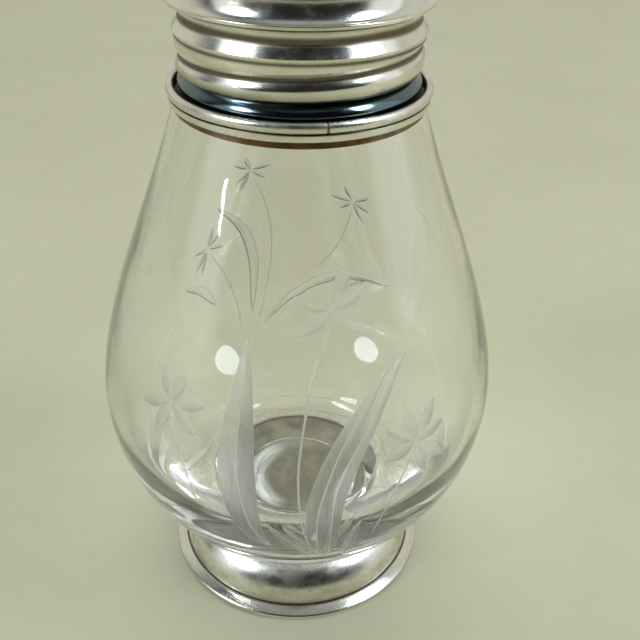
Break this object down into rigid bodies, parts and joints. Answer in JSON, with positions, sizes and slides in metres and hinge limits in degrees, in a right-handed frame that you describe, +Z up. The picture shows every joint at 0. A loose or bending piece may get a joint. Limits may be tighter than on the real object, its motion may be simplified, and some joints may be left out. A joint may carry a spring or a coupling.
{
  "type": "sugar caster",
  "caption": "Pear-shaped clear glass sugar caster on a domed silver foot, with a threaded silver neck mount and a screw-on pierced domed lid.",
  "frame": {"origin": "centre of the foot's underside, on the table", "axes": "+Z up along the turning axis, -Y towards the viewer, +X to the viewer's right"},
  "size_m": [0.086, 0.086, 0.1668],
  "materials": {
    "silver": "polished silver, lightly worn and scratched, dark in the recesses",
    "dull_silver": "tarnished silver with faint turning marks",
    "glass": "clear polished glass with wheel-cut flowers and leaves",
    "plaster": "matt grey-brown plaster",
    "cement": "brown cement seen through the glass",
    "cork": "matt cork"
  },
  "bodies": {
    "caster_body": {"foot_rim": "silver", "foot_disc": "dull_silver", "foot_dome": "silver", "foot_cement": "plaster", "glass_body": "glass", "neck_cement": "cement", "neck_sleeve": "dull_silver", "collar_ring": "silver", "rim_wire": "silver"},
    "seal": {"lid_seal": "cork"},
    "lid": {"lid_skirt": "silver", "lid_dome": "silver", "finial": "silver", "finial_nut": "dull_silver"}
  },
  "joints": [
    {"name": "lid_rise", "type": "slide", "parent": "caster_body", "child": "seal", "axis": [0, 0, 1], "range_m": [0, 0.0059]},
    {"name": "lid_turn", "type": "hinge", "parent": "seal", "child": "lid", "pos_m": [0, 0, 0.12], "axis": [0, 0, 1], "range_deg": [0, 450]}
  ],
  "couplings": [
    {"joint": "lid_rise", "follows": "lid_turn", "m_per_rad": 0.00074803}
  ]
}
